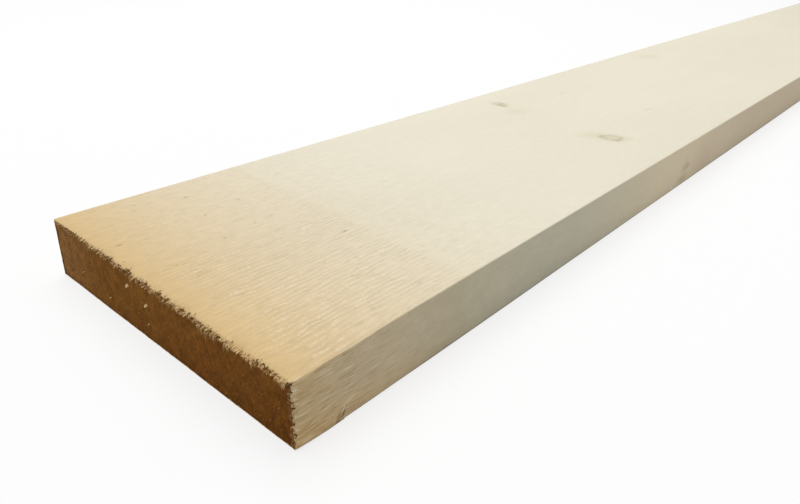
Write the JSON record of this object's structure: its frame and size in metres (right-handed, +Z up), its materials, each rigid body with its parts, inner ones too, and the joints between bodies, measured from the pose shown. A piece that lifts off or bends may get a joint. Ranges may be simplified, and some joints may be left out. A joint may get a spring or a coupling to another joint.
{
  "type": "sawn timber plank",
  "caption": "Long rectangular rough-sawn softwood board with square edges, for shelving, decking, cladding, boarding and general construction.",
  "frame": {"origin": "centre of the plank's underside, on the surface that it lies on", "axes": "+X along the plank away from the near end, +Y across it towards the back edge, +Z up through its thickness"},
  "size_m": [2.4, 0.225, 0.038],
  "materials": {
    "sawn_softwood": "rough sawn, bare, with darkened end grain"
  },
  "bodies": {
    "root": {"plank": "sawn_softwood"}
  },
  "joints": []
}
